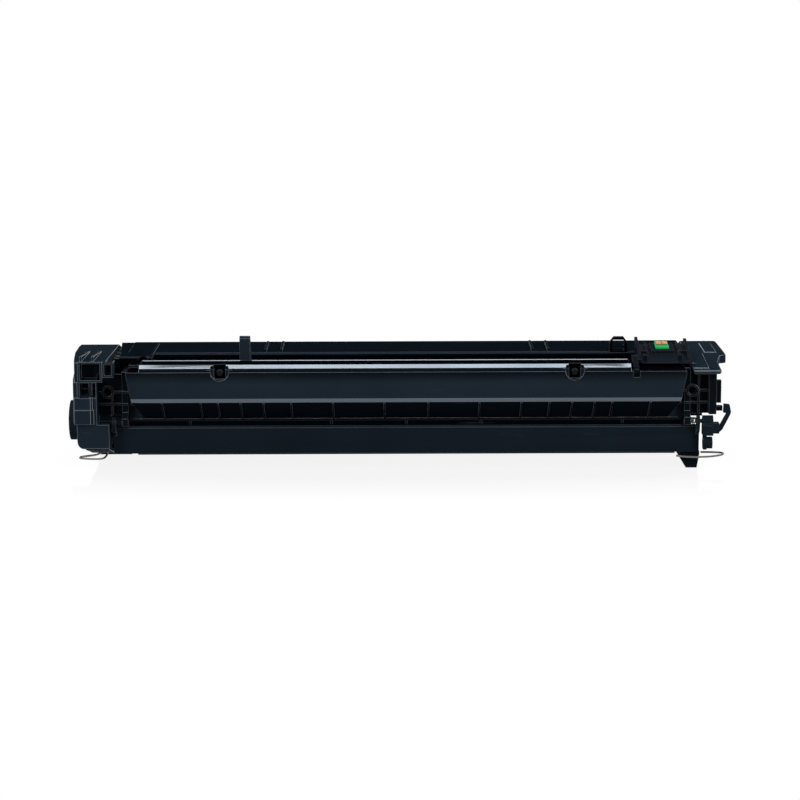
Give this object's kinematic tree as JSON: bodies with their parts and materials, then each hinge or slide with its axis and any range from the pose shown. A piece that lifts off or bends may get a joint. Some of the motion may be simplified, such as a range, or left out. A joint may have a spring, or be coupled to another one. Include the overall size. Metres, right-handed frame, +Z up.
{
  "type": "toner cartridge",
  "caption": "Wide laser toner cartridge with drum, charge and developer rollers, gear train, toner hopper, waste bin, spring-closed drum shutter and a chip.",
  "frame": {"origin": "centre of the bounding box's base", "axes": "+X along the drum towards the chip end, +Y from the waste bin back to the hopper, +Z up"},
  "size_m": [0.3854, 0.106, 0.0779],
  "materials": {
    "black_plastic": "fine-grained moulded black plastic with a blue cast and light on its edges",
    "steel_parts": "plain drawn and folded steel",
    "drum_coating": "smooth blue-green photoconductor",
    "roller_rubber": "matte conductive rubber",
    "urethane": "amber polyurethane",
    "clear_film": "thin grey polyester",
    "developer_metal": "blasted and coated aluminium",
    "white_plastic": "natural acetal",
    "chip_board": "green solder mask",
    "chip_gold": "pale gold contact pads"
  },
  "bodies": {
    "housing": {"blade_bracket": "steel_parts", "charge_bearing_left": "white_plastic", "charge_bearing_right": "white_plastic", "charge_spring_left": "steel_parts", "charge_spring_right": "steel_parts", "chip_board": "chip_board", "chip_contact_1": "chip_gold", "chip_contact_2": "chip_gold", "chip_holder": "black_plastic", "cleaning_blade": "urethane", "cover_screw_1": "steel_parts", "cover_screw_2": "steel_parts", "doctor_blade": "urethane", "doctor_bracket": "steel_parts", "drum_pin": "steel_parts", "fill_plug": "white_plastic", "front_bar": "black_plastic", "hinge_pin_left": "steel_parts", "hinge_pin_right": "steel_parts", "hopper_body": "black_plastic", "hopper_lid": "black_plastic", "left_end_cap": "black_plastic", "left_frame": "black_plastic", "magnet_core": "steel_parts", "recovery_sheet": "clear_film", "right_end_cap": "black_plastic", "right_frame": "black_plastic", "shutter_spring": "steel_parts", "waste_bin": "black_plastic", "waste_bin_cover": "black_plastic", "wire_loop_left": "steel_parts", "wire_loop_right": "steel_parts"},
    "drum": {"opc_drum": "drum_coating", "drum_drive_flange": "white_plastic", "drum_end_flange": "white_plastic"},
    "charge_roller": {"charge_shaft": "steel_parts", "charge_sleeve": "roller_rubber"},
    "developer_roller": {"developer_sleeve": "developer_metal", "developer_shaft": "white_plastic", "developer_flange": "white_plastic", "developer_gear": "white_plastic", "spacer_ring_left": "white_plastic", "spacer_ring_right": "white_plastic"},
    "idler": {"idler_gear": "white_plastic"},
    "agitator": {"agitator_frame": "white_plastic", "agitator_film": "clear_film", "agitator_gear": "white_plastic"},
    "shutter": {"shutter": "black_plastic", "shutter_lever": "black_plastic"}
  },
  "joints": [
    {"name": "drum_spin", "type": "hinge", "parent": "housing", "child": "drum", "pos_m": [0.0036, -0.015, 0.026], "axis": [1, 0, 0], "continuous": true},
    {"name": "charge_spin", "type": "hinge", "parent": "housing", "child": "charge_roller", "pos_m": [0.0036, -0.02332, 0.04561], "axis": [1, 0, 0], "continuous": true},
    {"name": "developer_spin", "type": "hinge", "parent": "housing", "child": "developer_roller", "pos_m": [0.0036, 0.00922, 0.028], "axis": [1, 0, 0], "continuous": true},
    {"name": "idler_spin", "type": "hinge", "parent": "housing", "child": "idler", "pos_m": [0.0036, 0.02352, 0.03738], "axis": [1, 0, 0], "continuous": true},
    {"name": "agitator_spin", "type": "hinge", "parent": "housing", "child": "agitator", "pos_m": [0.0036, 0.033, 0.02], "axis": [1, 0, 0], "continuous": true},
    {"name": "shutter_swing", "type": "hinge", "parent": "housing", "child": "shutter", "pos_m": [0.0036, -0.039, 0.0285], "axis": [-1, 0, 0], "range_deg": [0, 85], "stiffness_Nm_per_rad": 0.01, "springref_deg": -57.3}
  ],
  "couplings": [
    {"joint": "charge_spin", "follows": "drum_spin", "ratio": -2.5},
    {"joint": "developer_spin", "follows": "drum_spin", "ratio": -1.7},
    {"joint": "idler_spin", "follows": "drum_spin", "ratio": 1.8889},
    {"joint": "agitator_spin", "follows": "drum_spin", "ratio": -1.3077}
  ]
}
